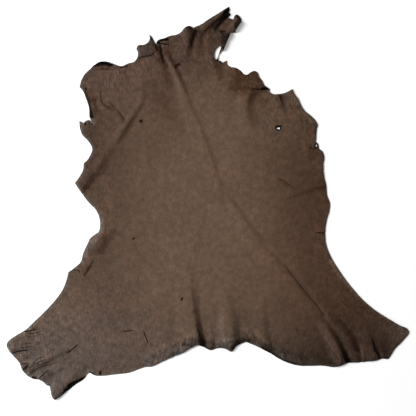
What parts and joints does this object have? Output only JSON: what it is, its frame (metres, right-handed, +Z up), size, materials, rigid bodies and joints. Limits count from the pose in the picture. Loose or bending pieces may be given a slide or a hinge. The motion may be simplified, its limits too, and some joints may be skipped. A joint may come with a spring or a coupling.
{
  "type": "leather hide",
  "caption": "Whole tanned skin lying grain side up, with neck and leg pieces, soft folds, a turned neck edge and small knife cuts. It rests flat on a surface.",
  "frame": {"origin": "on the resting surface, under the middle of the skin's outside box", "axes": "+Z up from the resting surface, through the grain side; +Y along the backbone towards the neck; +X across the skin"},
  "size_m": [1.0056, 0.9836, 0.0168],
  "materials": {
    "leather": "matte brown grain with a slight waxy sheen"
  },
  "bodies": {
    "root": {"hide": "leather"}
  },
  "joints": []
}
